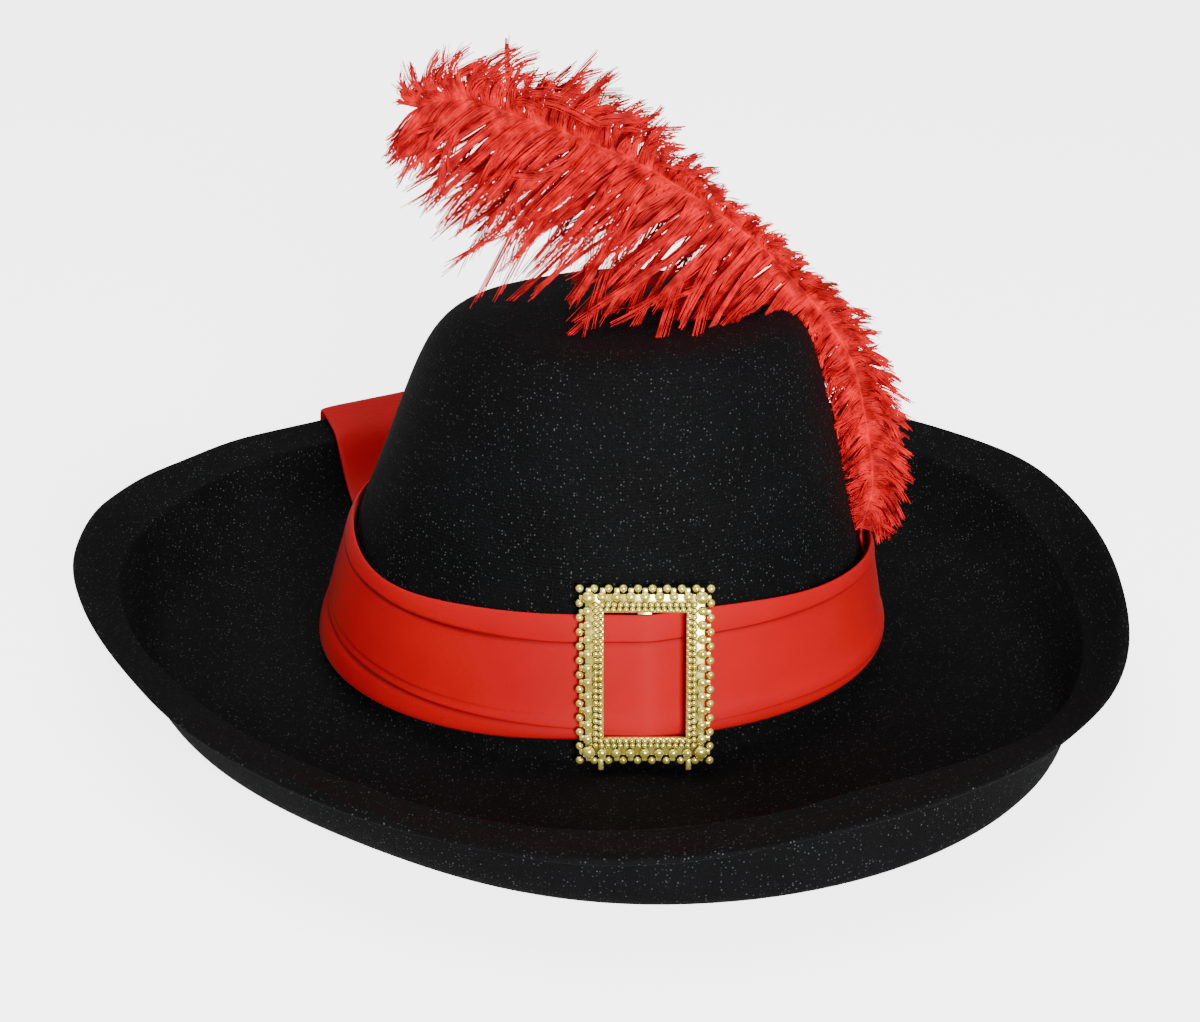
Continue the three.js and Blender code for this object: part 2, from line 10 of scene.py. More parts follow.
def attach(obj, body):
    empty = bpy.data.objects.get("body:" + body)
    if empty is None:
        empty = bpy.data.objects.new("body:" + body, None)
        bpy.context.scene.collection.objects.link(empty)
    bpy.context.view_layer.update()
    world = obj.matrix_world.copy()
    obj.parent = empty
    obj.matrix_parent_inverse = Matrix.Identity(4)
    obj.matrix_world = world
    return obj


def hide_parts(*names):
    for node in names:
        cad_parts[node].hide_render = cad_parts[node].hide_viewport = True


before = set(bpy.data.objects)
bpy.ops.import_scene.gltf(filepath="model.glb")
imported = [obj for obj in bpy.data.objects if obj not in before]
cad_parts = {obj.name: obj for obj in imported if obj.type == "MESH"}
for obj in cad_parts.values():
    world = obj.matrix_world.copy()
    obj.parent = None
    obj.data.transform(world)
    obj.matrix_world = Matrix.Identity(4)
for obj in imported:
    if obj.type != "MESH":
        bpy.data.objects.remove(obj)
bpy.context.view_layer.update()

# The view: from in front of the buckle and a little above, about 0.84 m away, as the hat was
# photographed.


def in_scene(name, data):
    """A new object at the origin that shows the data."""
    made = bpy.data.objects.new(name, data)
    bpy.context.scene.collection.objects.link(made)
    return made


view_from = Vector((0.00265, -0.75655, 0.403))
view_to = Vector((0.00175, 0.00345, 0.0565))
camera = in_scene("camera", bpy.data.cameras.new("camera"))
camera.location = view_from
camera.rotation_euler = (view_to - view_from).to_track_quat("-Z", "Y").to_euler()
camera.data.sensor_width = 36
camera.data.lens = 68.3
camera.data.clip_start = 0.02
bpy.context.scene.camera = camera

# Hat body: crown and brim are one piece of black felt, 2.5 mm thick, pressed hot over a form.
# The brim is curled up and its edge is turned over and pressed, which leaves a soft ridge.
# The felt is flocked, and fine glints of light off the flock are painted into its colour.


def finished_mesh(holder):
    """The mesh that an object comes to with its modifiers or its bevel; the object goes."""
    mesh = bpy.data.meshes.new_from_object(
        holder.evaluated_get(bpy.context.evaluated_depsgraph_get())
    )
    bpy.data.objects.remove(holder)
    return mesh


def smooth_copy(node, levels):
    """The node's own mesh, its triangles paired to quads and subdivided to a smooth skin."""
    bm = bmesh.new()
    bm.from_mesh(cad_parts[node].data)
    bmesh.ops.remove_doubles(bm, verts=bm.verts, dist=2e-5)
    bmesh.ops.join_triangles(
        bm, faces=bm.faces, cmp_seam=False, cmp_sharp=False, cmp_uvs=False,
        cmp_vcols=False, cmp_materials=False,
        angle_face_threshold=math.radians(75), angle_shape_threshold=math.radians(88),
    )
    mesh = bpy.data.meshes.new(node + "_base")
    bm.to_mesh(mesh)
    bm.free()
    base = in_scene(node + "_base", mesh)
    skin = base.modifiers.new("skin", "SUBSURF")
    skin.levels = skin.render_levels = levels
    return finished_mesh(base)


def placed(name, mesh, material, replaces=()):
    """Puts a finished mesh in the scene on the hat, smooth, with its material."""
    mesh.shade_smooth()
    mesh.materials.clear()
    mesh.materials.append(material)
    piece = in_scene(name, mesh)
    if replaces:
        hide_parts(*replaces)
    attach(piece, "root")


def new_material(name):
    """A material with its nodes, its links, its shader and the node of object coordinates."""
    made = bpy.data.materials.new(name)
    made.use_nodes = True
    nodes, links = made.node_tree.nodes, made.node_tree.links
    return made, nodes, links, nodes["Principled BSDF"], nodes.new("ShaderNodeTexCoord")


def two_tones(value, low, low_colour, high, high_colour):
    """A node of the material in hand: one colour up to a low value, another from a high one."""
    ramp = nodes.new("ShaderNodeValToRGB")
    ramp.color_ramp.elements[0].position = low
    ramp.color_ramp.elements[0].color = (*low_colour, 1)
    ramp.color_ramp.elements[1].position = high
    ramp.color_ramp.elements[1].color = (*high_colour, 1)
    links.new(value, ramp.inputs["Fac"])
    return ramp


def rough_between(value, low, high):
    """Brings a texture's value between two limits, as the roughness of the material in hand."""
    limits = nodes.new("ShaderNodeMapRange")
    limits.inputs["To Min"].default_value = low
    limits.inputs["To Max"].default_value = high
    links.new(value, limits.inputs["Value"])
    links.new(limits.outputs["Result"], shader.inputs["Roughness"])


felt, nodes, links, shader, place = new_material("black_flocked_felt")
shader.inputs["Sheen Weight"].default_value = 0.002
shader.inputs["Sheen Roughness"].default_value = 0.5
shader.inputs["Specular IOR Level"].default_value = 0.07
# Blotches where the flock lies another way
nap = nodes.new("ShaderNodeTexNoise")
nap.inputs["Scale"].default_value = 38
nap.inputs["Detail"].default_value = 6
nap.inputs["Roughness"].default_value = 0.65
links.new(place.outputs["Object"], nap.inputs["Vector"])
black = two_tones(
    nap.outputs["Fac"], 0.3, (0.0004, 0.0004, 0.0005), 0.75, (0.0022, 0.0023, 0.0028)
)
# Painted glints: specks a fraction of a millimetre wide and of unlike brightness, where grains of
# clear flock catch the light, painted lighter into the felt's colour
glint_grains = nodes.new("ShaderNodeTexVoronoi")
glint_grains.inputs["Scale"].default_value = 900
links.new(place.outputs["Object"], glint_grains.inputs["Vector"])
near = nodes.new("ShaderNodeMapRange")
near.inputs["From Min"].default_value = 0.3
near.inputs["From Max"].default_value = 0.12
links.new(glint_grains.outputs["Distance"], near.inputs["Value"])
tint = nodes.new("ShaderNodeSeparateColor")
links.new(glint_grains.outputs["Color"], tint.inputs["Color"])
bright = nodes.new("ShaderNodeMath")
bright.operation = "POWER"
bright.inputs[1].default_value = 3
links.new(tint.outputs["Red"], bright.inputs[0])
painted_glint = nodes.new("ShaderNodeMath")
painted_glint.operation = "MULTIPLY"
links.new(near.outputs["Result"], painted_glint.inputs[0])
links.new(bright.outputs[0], painted_glint.inputs[1])
# Inputs 6 and 7 of a Mix node in RGBA are its two colours, and its output 2 is their mix
black_and_painted_glints = nodes.new("ShaderNodeMix")
black_and_painted_glints.data_type = "RGBA"
links.new(painted_glint.outputs[0], black_and_painted_glints.inputs["Factor"])
links.new(black.outputs["Color"], black_and_painted_glints.inputs[6])
black_and_painted_glints.inputs[7].default_value = (0.07, 0.074, 0.082, 1)
links.new(black_and_painted_glints.outputs[2], shader.inputs["Base Color"])
rough_between(nap.outputs["Fac"], 0.6, 0.8)
# Flock, and the fine courses of the knitted backing that show through it on the crown
flock = nodes.new("ShaderNodeTexNoise")
flock.inputs["Scale"].default_value = 1500
flock.inputs["Detail"].default_value = 3
links.new(place.outputs["Object"], flock.inputs["Vector"])
courses = nodes.new("ShaderNodeTexWave")
courses.wave_type = "BANDS"
courses.bands_direction = "Z"
courses.inputs["Scale"].default_value = 270
courses.inputs["Distortion"].default_value = 3
courses.inputs["Detail"].default_value = 3
courses.inputs["Detail Scale"].default_value = 1.4
links.new(place.outputs["Object"], courses.inputs["Vector"])
height = nodes.new("ShaderNodeSeparateXYZ")
links.new(place.outputs["Object"], height.inputs["Vector"])
crown_only = nodes.new("ShaderNodeMapRange")
crown_only.inputs["From Min"].default_value = 0.05
crown_only.inputs["From Max"].default_value = 0.075
links.new(height.outputs["Z"], crown_only.inputs["Value"])
ribs = nodes.new("ShaderNodeMath")
ribs.operation = "MULTIPLY"
links.new(courses.outputs["Fac"], ribs.inputs[0])
links.new(crown_only.outputs["Result"], ribs.inputs[1])
knit = nodes.new("ShaderNodeBump")
knit.inputs["Strength"].default_value = 0.4
knit.inputs["Distance"].default_value = 0.0004
links.new(ribs.outputs[0], knit.inputs["Height"])
fuzz = nodes.new("ShaderNodeBump")
fuzz.inputs["Strength"].default_value = 0.9
fuzz.inputs["Distance"].default_value = 0.0005
links.new(flock.outputs["Fac"], fuzz.inputs["Height"])
links.new(knit.outputs["Normal"], fuzz.inputs["Normal"])
links.new(fuzz.outputs["Normal"], shader.inputs["Normal"])

body = smooth_copy("hat_body", levels=2)
# Soft, shallow hollows of a hat that has been handled; none where it rests on the table
hollows_per_metre, hollow_deep = 22, 0.0011
foot_height, fade_height = 0.004, 0.02
outward = [Vector(vertex.normal) for vertex in body.vertices]
for vertex, normal in zip(body.vertices, outward):
    wave = noise.noise(vertex.co * hollows_per_metre) * hollow_deep
    vertex.co += normal * wave * min(1, max(0, vertex.co.z - foot_height) / fade_height)
placed("felt_hat", body, felt, ["hat_body"])

# Sash: a length of red satin folded double, 43 mm wide, wound once round the foot of the crown.
# Its edges are turned in, and it is creased lengthwise, each crease a lap of the cloth above over
# the cloth below. Its free end leaves it at the back and lies over the brim.
satin, nodes, links, shader, place = new_material("red_satin")
shader.inputs["Sheen Weight"].default_value = 0.06
shader.inputs["Sheen Roughness"].default_value = 0.4
shader.inputs["Sheen Tint"].default_value = (1, 0.3, 0.25, 1)
shader.inputs["Specular IOR Level"].default_value = 0.1
cloud = nodes.new("ShaderNodeTexNoise")
cloud.inputs["Scale"].default_value = 16
cloud.inputs["Detail"].default_value = 5
links.new(place.outputs["Object"], cloud.inputs["Vector"])
red = two_tones(cloud.outputs["Fac"], 0.25, (0.31, 0.0004, 0.0028), 0.8, (0.43, 0.0006, 0.004))
# Creases of the winding: each has a height in metres at each share of a turn round the crown,
# counted from the back past +X and the buckle, and a depth there from 0 to 1. A crease reaches
# so far below its height, is so deep, and ends above it within a share of that reach
crease_reach, crease_deep, crease_edge = 0.0024, 0.0008, 0.25
crease_rows = [
    {"turn": (0.10, 0.20, 0.27, 0.36, 0.47, 0.53, 0.64, 0.70, 0.75, 0.79),
     "height": (0.036, 0.042, 0.044, 0.0455, 0.046, 0.045, 0.0455, 0.0475, 0.052, 0.058),
     "depth": (0, 0.2, 0.1, 0.5, 0.4, 0.5, 1, 1, 1, 0)},
    {"turn": (0.12, 0.22, 0.30, 0.38, 0.47, 0.53, 0.62, 0.69, 0.76, 0.84),
     "height": (0.022, 0.017, 0.0155, 0.0165, 0.0155, 0.0165, 0.0185, 0.0215, 0.028, 0.036),
     "depth": (0, 0.6, 0.4, 0.2, 0, 0.3, 0.8, 1, 0.9, 0)},
    {"turn": (0.50, 0.56, 0.62, 0.67, 0.72, 0.76, 0.80, 0.84, 0.88, 0.92),
     "height": (0.021, 0.0205, 0.0215, 0.0235, 0.027, 0.032, 0.036, 0.039, 0.041, 0.042),
     "depth": (0, 0.1, 0.3, 0.4, 0.3, 0.2, 0.2, 0.2, 0.1, 0)},
]
axes = nodes.new("ShaderNodeSeparateXYZ")
links.new(place.outputs["Object"], axes.inputs["Vector"])
bearing = nodes.new("ShaderNodeMath")
bearing.operation = "ARCTAN2"
links.new(axes.outputs["X"], bearing.inputs[0])
ahead = nodes.new("ShaderNodeMath")
ahead.operation = "MULTIPLY"
ahead.inputs[1].default_value = -1
links.new(axes.outputs["Y"], ahead.inputs[0])
links.new(ahead.outputs[0], bearing.inputs[1])
turn = nodes.new("ShaderNodeMapRange")
turn.inputs["From Min"].default_value = math.pi
turn.inputs["From Max"].default_value = -math.pi
links.new(bearing.outputs[0], turn.inputs["Value"])
folds = None
for row in crease_rows:
    curves = {}
    # A curve holds values from 0 to 1, so it holds a height in tenths of a metre
    for column, unit in (("height", 0.1), ("depth", 1)):
        node = nodes.new("ShaderNodeFloatCurve")
        line = node.mapping.curves[0]
        while len(line.points) < len(row["turn"]):
            line.points.new(0.5, 0.5)
        for point, at, value in zip(line.points, row["turn"], row[column]):
            point.location = (at, value / unit)
        node.mapping.update()
        links.new(turn.outputs["Result"], node.inputs["Value"])
        scaled = nodes.new("ShaderNodeMath")
        scaled.operation = "MULTIPLY"
        scaled.inputs[1].default_value = unit
        links.new(node.outputs["Value"], scaled.inputs[0])
        curves[column] = scaled
    below = nodes.new("ShaderNodeMath")
    below.operation = "SUBTRACT"
    links.new(axes.outputs["Z"], below.inputs[0])
    links.new(curves["height"].outputs[0], below.inputs[1])
    # The shade under the lapping edge, dark at the edge and fading below it
    step = nodes.new("ShaderNodeValToRGB")
    step.color_ramp.interpolation = "B_SPLINE"
    step.color_ramp.elements[0].position = 0
    step.color_ramp.elements[0].color = (0, 0, 0, 1)
    step.color_ramp.elements[1].position = 1
    step.color_ramp.elements[1].color = (0, 0, 0, 1)
    for position, value in ((0.3, 0.25), (0.46, 1), (0.54, 0.9), (0.6, 0.05)):
        step.color_ramp.elements.new(position).color = (value, value, value, 1)
    window = nodes.new("ShaderNodeMapRange")
    window.inputs["From Min"].default_value = -crease_reach
    window.inputs["From Max"].default_value = crease_reach
    links.new(below.outputs[0], window.inputs["Value"])
    links.new(window.outputs["Result"], step.inputs["Fac"])
    fold = nodes.new("ShaderNodeMath")
    fold.operation = "MULTIPLY"
    links.new(step.outputs["Color"], fold.inputs[0])
    links.new(curves["depth"].outputs[0], fold.inputs[1])
    if folds:
        total = nodes.new("ShaderNodeMath")
        total.operation = "ADD"
        total.use_clamp = True
        links.new(folds.outputs[0], total.inputs[0])
        links.new(fold.outputs[0], total.inputs[1])
        folds = total
    else:
        folds = fold
shaded = nodes.new("ShaderNodeMix")
shaded.data_type = "RGBA"
links.new(folds.outputs[0], shaded.inputs["Factor"])
links.new(red.outputs["Color"], shaded.inputs[6])
shaded.inputs[7].default_value = (0.08, 0.0001, 0.0008, 1)
links.new(shaded.outputs[2], shader.inputs["Base Color"])
creased = nodes.new("ShaderNodeBump")
creased.invert = True
creased.inputs["Strength"].default_value = 0.2
creased.inputs["Distance"].default_value = 0.0006
links.new(folds.outputs[0], creased.inputs["Height"])
# Weave: fine threads round the band and across it
weft = nodes.new("ShaderNodeTexWave")
weft.bands_direction = "Z"
weft.inputs["Scale"].default_value = 900
weft.inputs["Distortion"].default_value = 1.5
links.new(place.outputs["Object"], weft.inputs["Vector"])
warp = nodes.new("ShaderNodeTexNoise")
warp.inputs["Scale"].default_value = 900
links.new(place.outputs["Object"], warp.inputs["Vector"])
threads = nodes.new("ShaderNodeMath")
threads.operation = "ADD"
links.new(weft.outputs["Fac"], threads.inputs[0])
links.new(warp.outputs["Fac"], threads.inputs[1])
weave = nodes.new("ShaderNodeBump")
weave.inputs["Strength"].default_value = 0.25
weave.inputs["Distance"].default_value = 0.0002
links.new(threads.outputs[0], weave.inputs["Height"])
links.new(creased.outputs["Normal"], weave.inputs["Normal"])
links.new(weave.outputs["Normal"], shader.inputs["Normal"])
rough_between(cloud.outputs["Fac"], 0.42, 0.6)


def row_value(row, column, turn):
    """A crease's height or depth at a share of a turn, and 0 beyond its ends."""
    for a, b, low, high in zip(row["turn"], row["turn"][1:], row[column], row[column][1:]):
        if a <= turn <= b:
            return low + (high - low) * (turn - a) / (b - a)
    return 0


def crease(point):
    """How deep the creases are at a point of the sash, from 0 to 1."""
    turn = 0.5 - math.atan2(point.x, -point.y) / (2 * math.pi)
    deepest = 0
    for row in crease_rows:
        up = (point.z - row_value(row, "height", turn)) / crease_reach
        if -1 < up < crease_edge:
            # Slowly down from below, and a sharp step up to the cloth that laps over
            shape = (1 + up) ** 2 if up < 0 else 1 - up / crease_edge
            deepest = max(deepest, shape * row_value(row, "depth", turn))
    return deepest


band = smooth_copy("sash_band", levels=3)
bm = bmesh.new()
bm.from_mesh(band)
# Finer faces where a crease runs on the outside, so that it stands in the mesh: the edges that
# rise by this share of their length are the ones to subdivide
steep = 0.8
upright = []
for edge in bm.edges:
    ends = [vertex.co for vertex in edge.verts]
    middle = (ends[0] + ends[1]) / 2
    outside = edge.link_faces[0].normal.dot(Vector((middle.x, middle.y, 0))) > 0
    rise = abs(ends[1].z - ends[0].z)
    if outside and rise > steep * edge.calc_length():
        if any(crease(end) > 0 for end in ends) or crease(middle) > 0:
            upright.append(edge)
bmesh.ops.subdivide_edges(bm, edges=upright, cuts=5, use_grid_fill=True)
bm.normal_update()
for vertex in bm.verts:
    if vertex.normal.dot(Vector((vertex.co.x, vertex.co.y, 0))) > 0:
        vertex.co -= vertex.normal * crease_deep * crease(vertex.co)
# The faces beside a subdivided edge have nine corners now, and are cut up without slivers
cornered = [face for face in bm.faces if len(face.verts) > 4]
bmesh.ops.triangulate(bm, faces=cornered, ngon_method="BEAUTY")
bm.to_mesh(band)
bm.free()
placed("sash_round_crown", band, satin, ["sash_band"])

# The free end's root is drawn in towards the band, and still stands 2 to 9 mm clear of it
tail = smooth_copy("sash_tail", levels=3)
tail_root, tail_heading = Vector((-0.0647, 0.0738, 0)), Vector((-0.361, 0.9326, 0))
drawn_length, draw_in = 0.03, 0.0045
for vertex in tail.vertices:
    run = (vertex.co - tail_root).dot(tail_heading)
    share = max(0, 1 - run / drawn_length) ** 2
    vertex.co -= tail_heading * draw_in * share
placed("sash_free_end", tail, satin, ["sash_tail"])

# Buckle: one gilt moulding. Balls with small tabs between them along its edge, larger studs and
# two rows of fine beads inside them, and a raised lip at the opening. Its middle bar is behind
# the sash, and two posts stand at its foot.
gilt, nodes, links, shader, place = new_material("gilt")
shader.inputs["Metallic"].default_value = 0.75
tarnish = nodes.new("ShaderNodeTexNoise")
tarnish.inputs["Scale"].default_value = 260
tarnish.inputs["Detail"].default_value = 4
links.new(place.outputs["Object"], tarnish.inputs["Vector"])
gold = two_tones(tarnish.outputs["Fac"], 0.3, (0.84, 0.66, 0.08), 0.7, (1.0, 0.92, 0.26))
# Darker brown in the recesses between the studs, the more so the more closed in they are
recess = nodes.new("ShaderNodeAmbientOcclusion")
recess.samples = 6
recess.inputs["Distance"].default_value = 0.0016
openness = nodes.new("ShaderNodeMapRange")
openness.inputs["From Min"].default_value = 0.28
openness.inputs["From Max"].default_value = 0.8
links.new(recess.outputs["AO"], openness.inputs["Value"])
recess_brown = nodes.new("ShaderNodeMix")
recess_brown.data_type = "RGBA"
links.new(openness.outputs["Result"], recess_brown.inputs["Factor"])
recess_brown.inputs[6].default_value = (0.09, 0.06, 0.012, 1)
links.new(gold.outputs["Color"], recess_brown.inputs[7])
links.new(recess_brown.outputs[2], shader.inputs["Base Color"])
rough_between(tarnish.outputs["Fac"], 0.12, 0.3)
grain = nodes.new("ShaderNodeBump")
grain.inputs["Strength"].default_value = 0.15
grain.inputs["Distance"].default_value = 0.0001
links.new(tarnish.outputs["Fac"], grain.inputs["Height"])
links.new(grain.outputs["Normal"], shader.inputs["Normal"])

buckle_width, buckle_height = 0.0424, 0.058
frame_bar, frame_thick = 0.0074, 0.0024
open_width, open_height = buckle_width - 2 * frame_bar, buckle_height - 2 * frame_bar
# The bar behind the sash: its faces, how far it lies behind the frame, and its two ends
bar_width, bar_thick, bar_deep = 0.005, 0.0012, 0.0023
bar_top, bar_end = 0.0228, -0.026
# The buckle is drawn flat, and then put where the CAD buckle is, leaning as the sash leans there
seat = Matrix.Translation((0.016916, -0.08333, 0.03594)) @ Matrix.Rotation(
    math.acos(0.23665), 4, "X"
)


def gilt_piece(bm, name, replaces=()):
    """Moves what was drawn flat to the buckle's seat and places it."""
    bmesh.ops.transform(bm, matrix=seat, verts=bm.verts)
    mesh = bpy.data.meshes.new(name)
    bm.to_mesh(mesh)
    bm.free()
    placed(name, mesh, gilt, replaces)


def block(bm, middle, size, edge=0.0003):
    """A block with rounded edges."""
    made = bmesh.ops.create_cube(bm, size=1)["verts"]
    bmesh.ops.scale(bm, vec=size, verts=made)
    bmesh.ops.translate(bm, vec=middle, verts=made)
    lines = list(dict.fromkeys(line for vertex in made for line in vertex.link_edges))
    bmesh.ops.bevel(
        bm, geom=lines, offset=edge, offset_type="OFFSET", segments=2, profile=0.5,
        affect="EDGES", material=-1,
    )


def stud_rows(name, width, height, across, down, z, size, flat, skip=0):
    """Round studs along the four sides of a rectangle, from skip places in from the corners."""
    bm = bmesh.new()
    middles = []
    for i in range(skip, across - skip):
        x = (i / (across - 1) - 0.5) * width
        middles += [(x, height / 2), (x, -height / 2)]
    for i in range(max(1, skip), down - max(1, skip)):
        y = (i / (down - 1) - 0.5) * height
        middles += [(width / 2, y), (-width / 2, y)]
    for x, y in middles:
        made = bmesh.ops.create_uvsphere(bm, u_segments=14, v_segments=8, radius=size / 2)["verts"]
        bmesh.ops.scale(bm, vec=(1, 1, flat), verts=made)
        bmesh.ops.translate(bm, vec=(x, y, z), verts=made)
    gilt_piece(bm, name)


# The plate under the studs, its four sides and the tabs between the balls of its edge
balls_across, balls_down = 10, 13
plate_inset = 0.0011
plate_bar = frame_bar - plate_inset
sides_thick, ends_thick = frame_thick * 0.74, frame_thick * 0.72
tab_wide, tab_long, tab_thick, tab_edge = 0.0019, 0.0026, 0.0021, 0.0004
tab_in, tab_up = 0.0004, 0.0011
lip_wide, lip_thick = 0.001, frame_thick * 0.9
post_wide, post_long, post_edge = 0.0019, 0.0042, 0.0005
post_out, post_below, post_up = 0.001, 0.002, 0.0012
bm = bmesh.new()
for side in (-1, 1):
    block(
        bm, middle=(side * (open_width + plate_bar) / 2, 0, sides_thick / 2),
        size=(plate_bar, buckle_height - 2 * plate_inset, sides_thick),
    )
    block(
        bm, middle=(0, side * (open_height + plate_bar) / 2, ends_thick / 2),
        size=(buckle_width - 2 * plate_inset, plate_bar, ends_thick),
    )
    gaps = balls_across - 1
    for i in range(gaps):
        x = (i - (gaps - 1) / 2) * buckle_width / gaps
        block(
            bm, middle=(x, side * (buckle_height / 2 - tab_in), tab_up),
            size=(tab_wide, tab_long, tab_thick), edge=tab_edge,
        )
    gaps = balls_down - 1
    for i in range(gaps):
        y = (i - (gaps - 1) / 2) * buckle_height / gaps
        block(
            bm, middle=(side * (buckle_width / 2 - tab_in), y, tab_up),
            size=(tab_long, tab_wide, tab_thick), edge=tab_edge,
        )
    # A post at the bottom, and a raised lip at each side of the opening
    block(
        bm, middle=(side * (open_width / 2 + post_out), -buckle_height / 2 - post_below, post_up),
        size=(post_wide, post_long, post_wide), edge=post_edge,
    )
    block(
        bm, middle=(side * (open_width + lip_wide) / 2, 0, frame_thick * 0.55),
        size=(lip_wide, open_height + 2 * lip_wide, lip_thick),
    )
    block(
        bm, middle=(0, side * (open_height + lip_wide) / 2, frame_thick * 0.54),
        size=(open_width + 2 * lip_wide, lip_wide, lip_thick),
    )
# The bar behind the sash and the stubs that carry it
block(
    bm, middle=(0, (bar_top + bar_end) / 2, -bar_deep - bar_thick / 2),
    size=(bar_width, bar_top - bar_end, bar_thick),
)
for stub in (bar_top - bar_thick / 2, bar_end + bar_thick / 2):
    block(
        bm, middle=(0, stub, (frame_thick / 2 - bar_deep - bar_thick) / 2),
        size=(bar_width, bar_thick, frame_thick / 2 + bar_deep + bar_thick),
    )
gilt_piece(bm, "buckle_plate", ["buckle"])

stud_rows(
    "buckle_edge_balls", width=buckle_width + 0.0014, height=buckle_height + 0.0014,
    across=balls_across, down=balls_down, z=0.0013, size=0.0028, flat=0.9,
)
stud_rows(
    "buckle_large_studs", width=buckle_width - 0.004, height=buckle_height - 0.004,
    across=9, down=12, z=0.0021, size=0.0034, flat=0.8, skip=1,
)
stud_rows(
    "buckle_corner_studs", width=buckle_width - 0.0046, height=buckle_height - 0.0046,
    across=2, down=2, z=0.0024, size=0.0046, flat=0.75,
)
stud_rows(
    "buckle_outer_beads", width=buckle_width - 0.0094, height=buckle_height - 0.0094,
    across=17, down=24, z=0.0022, size=0.0021, flat=0.9,
)
stud_rows(
    "buckle_inner_beads", width=open_width + 0.0021, height=open_height + 0.0021,
    across=15, down=22, z=0.0024, size=0.0021, flat=0.9,
)

# Plume: one dyed ostrich feather. The quill is tucked behind the sash at the side; long soft
# barbs droop from its inner side over the crown, short ones curl from the other side.
dyed, nodes, links, shader, place = new_material("dyed_ostrich")
shader.inputs["Sheen Weight"].default_value = 0.08
shader.inputs["Sheen Roughness"].default_value = 0.35
shader.inputs["Sheen Tint"].default_value = (1, 0.25, 0.25, 1)
shader.inputs["Roughness"].default_value = 0.6
shader.inputs["Specular IOR Level"].default_value = 0.12
streaks = nodes.new("ShaderNodeTexNoise")
streaks.inputs["Scale"].default_value = 190
streaks.inputs["Detail"].default_value = 4
links.new(place.outputs["Object"], streaks.inputs["Vector"])
dye = two_tones(streaks.outputs["Fac"], 0.3, (0.2, 0.0009, 0.0024), 0.7, (0.78, 0.005, 0.01))
links.new(dye.outputs["Color"], shader.inputs["Base Color"])

# The quill's course in metres, the CAD plume's, from its foot behind the sash to its tip
quill_points = [
    (0.1007, 0.0034, 0.0364), (0.0978, 0.0034, 0.0484), (0.1016, 0.0073, 0.0654),
    (0.0985, 0.0093, 0.0884), (0.0926, 0.0114, 0.1113), (0.0815, 0.0123, 0.1294),
    (0.0695, 0.0127, 0.1434), (0.0571, 0.0127, 0.1564), (0.0370, 0.0121, 0.1717),
    (0.0172, 0.0106, 0.1844), (-0.0030, 0.0078, 0.1943), (-0.0221, 0.0050, 0.2023),
    (-0.0448, 0.0011, 0.2104), (-0.0588, -0.0012, 0.2084),
]
path = [Vector(p) for p in quill_points]


def along(share):
    """The quill's middle line and its heading at a share of its points."""
    at = min(max(share, 0), 0.9999) * (len(path) - 1)
    i = int(at)
    t = at - i
    p0, p1, p2, p3 = (path[min(max(k, 0), len(path) - 1)] for k in (i - 1, i, i + 1, i + 2))
    point = 0.5 * (
        2 * p1 + (p2 - p0) * t + (2 * p0 - 5 * p1 + 4 * p2 - p3) * t ** 2
        + (3 * p1 - p0 - 3 * p2 + p3) * t ** 3
    )
    heading = 0.5 * (
        (p2 - p0) + 2 * (2 * p0 - 5 * p1 + 4 * p2 - p3) * t
        + 3 * (3 * p1 - p0 - 3 * p2 + p3) * t ** 2
    )
    return point, heading.normalized()


crown = BVHTree.FromObject(
    bpy.data.objects["felt_hat"], bpy.context.evaluated_depsgraph_get()
)


def off_crown(point, gap=0.0006, search=0.03):
    """A point of a barb, brought outside the felt if it went into it."""
    near, normal, _, _ = crown.find_nearest(point, search)
    if near and (point - near).dot(normal) < gap:
        return near + normal * gap
    return point


# The barbs along the quill: a share of its points, the barbs' length in metres on the crown's side
# and their lean ahead towards the tip, and the same two for the other side
barb_rows = [
    (0.10, 0.009, -0.2, 0.012, 0.1), (0.20, 0.012, -0.1, 0.014, 0.0),
    (0.30, 0.018, 0.0, 0.016, 0.0), (0.38, 0.03, 0.05, 0.013, 0.1),
    (0.46, 0.042, 0.15, 0.009, 0.3), (0.54, 0.052, 0.25, 0.009, 0.4),
    (0.62, 0.055, 0.5, 0.012, 0.4), (0.70, 0.053, 0.7, 0.021, 0.35),
    (0.80, 0.05, 0.8, 0.029, 0.3), (0.90, 0.034, 1.0, 0.026, 0.55), (1.0, 0.016, 1.7, 0.014, 1.3),
]


def barb_value(share, column):
    """A column of the rows of barbs at a share of the quill."""
    for a, b in zip(barb_rows, barb_rows[1:]):
        if share <= b[0]:
            return a[column] + max(0, share - a[0]) / (b[0] - a[0]) * (b[column] - a[column])
    return barb_rows[-1][column]


